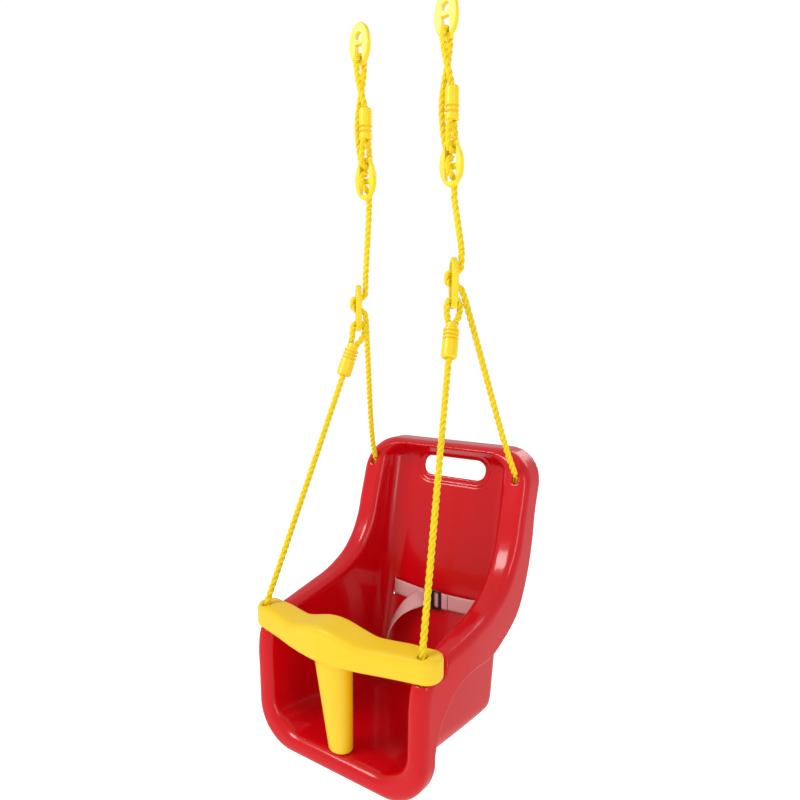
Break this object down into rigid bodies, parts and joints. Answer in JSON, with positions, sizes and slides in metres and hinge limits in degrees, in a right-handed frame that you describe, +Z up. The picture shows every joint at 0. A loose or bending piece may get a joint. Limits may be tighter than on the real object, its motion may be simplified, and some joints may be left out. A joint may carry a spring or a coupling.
{
  "type": "toddler bucket swing",
  "caption": "Moulded bucket seat with a sliding T-bar and lap belt, hung on twisted ropes with adjuster plates.",
  "frame": {"origin": "midway between the centres of the two hanger holes", "axes": "+X across the seat to the image-right side, +Y from the seat's front to its back, +Z up; at rest the seat hangs straight below the origin"},
  "size_m": [0.299, 0.338, 1.005],
  "materials": {
    "shell_red": "glossy polyethylene",
    "bar_yellow": "satin, finely textured polyethylene",
    "plate_yellow": "semi-gloss moulded plastic",
    "clamp_yellow": "semi-gloss moulded plastic",
    "rope_yellow": "twisted three-strand polyethylene rope",
    "webbing_pink": "woven flat webbing, pinkish white",
    "glide_black": "semi-gloss black plastic"
  },
  "bodies": {
    "hangers": {"hanger_plate_left": "plate_yellow", "hanger_plate_right": "plate_yellow"},
    "ropes": {"rope_loop_left": "rope_yellow", "rope_loop_right": "rope_yellow"},
    "adjuster_left": {"adjuster_plate_left": "plate_yellow", "upper_clamp_left": "clamp_yellow", "rope_adjuster_eye_left": "rope_yellow", "rope_weave_left": "rope_yellow"},
    "adjuster_right": {"adjuster_plate_right": "plate_yellow", "upper_clamp_right": "clamp_yellow", "rope_adjuster_eye_right": "rope_yellow", "rope_weave_right": "rope_yellow"},
    "seat": {"rope_main_left": "rope_yellow", "rope_main_right": "rope_yellow", "branch_plate_left": "plate_yellow", "branch_plate_right": "plate_yellow", "rope_branch_eye_left": "rope_yellow", "rope_branch_eye_right": "rope_yellow", "lower_clamp_left": "clamp_yellow", "lower_clamp_right": "clamp_yellow", "rope_front_left": "rope_yellow", "rope_front_right": "rope_yellow", "rope_front_end_left": "rope_yellow", "rope_front_end_right": "rope_yellow", "rope_rear_left": "rope_yellow", "rope_rear_right": "rope_yellow", "front_knot_left": "rope_yellow", "front_knot_right": "rope_yellow", "rear_knot_left": "rope_yellow", "rear_knot_right": "rope_yellow", "seat_shell": "shell_red", "belt_webbing": "webbing_pink", "belt_stitched_end": "webbing_pink"},
    "t_bar": {"t_bar": "bar_yellow"},
    "tri_glide": {"tri_glide": "glide_black"}
  },
  "joints": [
    {"name": "swing", "type": "hinge", "parent": "hangers", "child": "ropes", "pos_m": [0, 0, -0.035], "axis": [1, 0, 0], "range_deg": [-45, 45]},
    {"name": "adjust_left", "type": "slide", "parent": "ropes", "child": "adjuster_left", "axis": [0, 0, 1], "range_m": [-0.025, 0.025], "deforming": ["rope_loop_left"]},
    {"name": "adjust_right", "type": "slide", "parent": "ropes", "child": "adjuster_right", "axis": [0, 0, 1], "range_m": [-0.025, 0.025], "deforming": ["rope_loop_right"]},
    {"name": "seat_lift", "type": "slide", "parent": "adjuster_left", "child": "seat", "axis": [0, 0, 1], "range_m": [-0.05, 0.05], "deforming": ["rope_main_left", "rope_main_right"]},
    {"name": "t_bar_slide", "type": "slide", "parent": "seat", "child": "t_bar", "axis": [0, 0.3502, 0.9367], "range_m": [0, 0.15], "deforming": ["rope_front_left", "rope_front_right", "rope_front_end_left", "rope_front_end_right"]},
    {"name": "glide_slide", "type": "slide", "parent": "seat", "child": "tri_glide", "axis": [1, 0, 0], "range_m": [-0.012, 0.012], "deforming": ["belt_webbing", "belt_stitched_end"]}
  ],
  "couplings": [
    {"joint": "adjust_left", "follows": "seat_lift", "ratio": -0.5},
    {"joint": "adjust_right", "follows": "seat_lift", "ratio": -0.5}
  ]
}
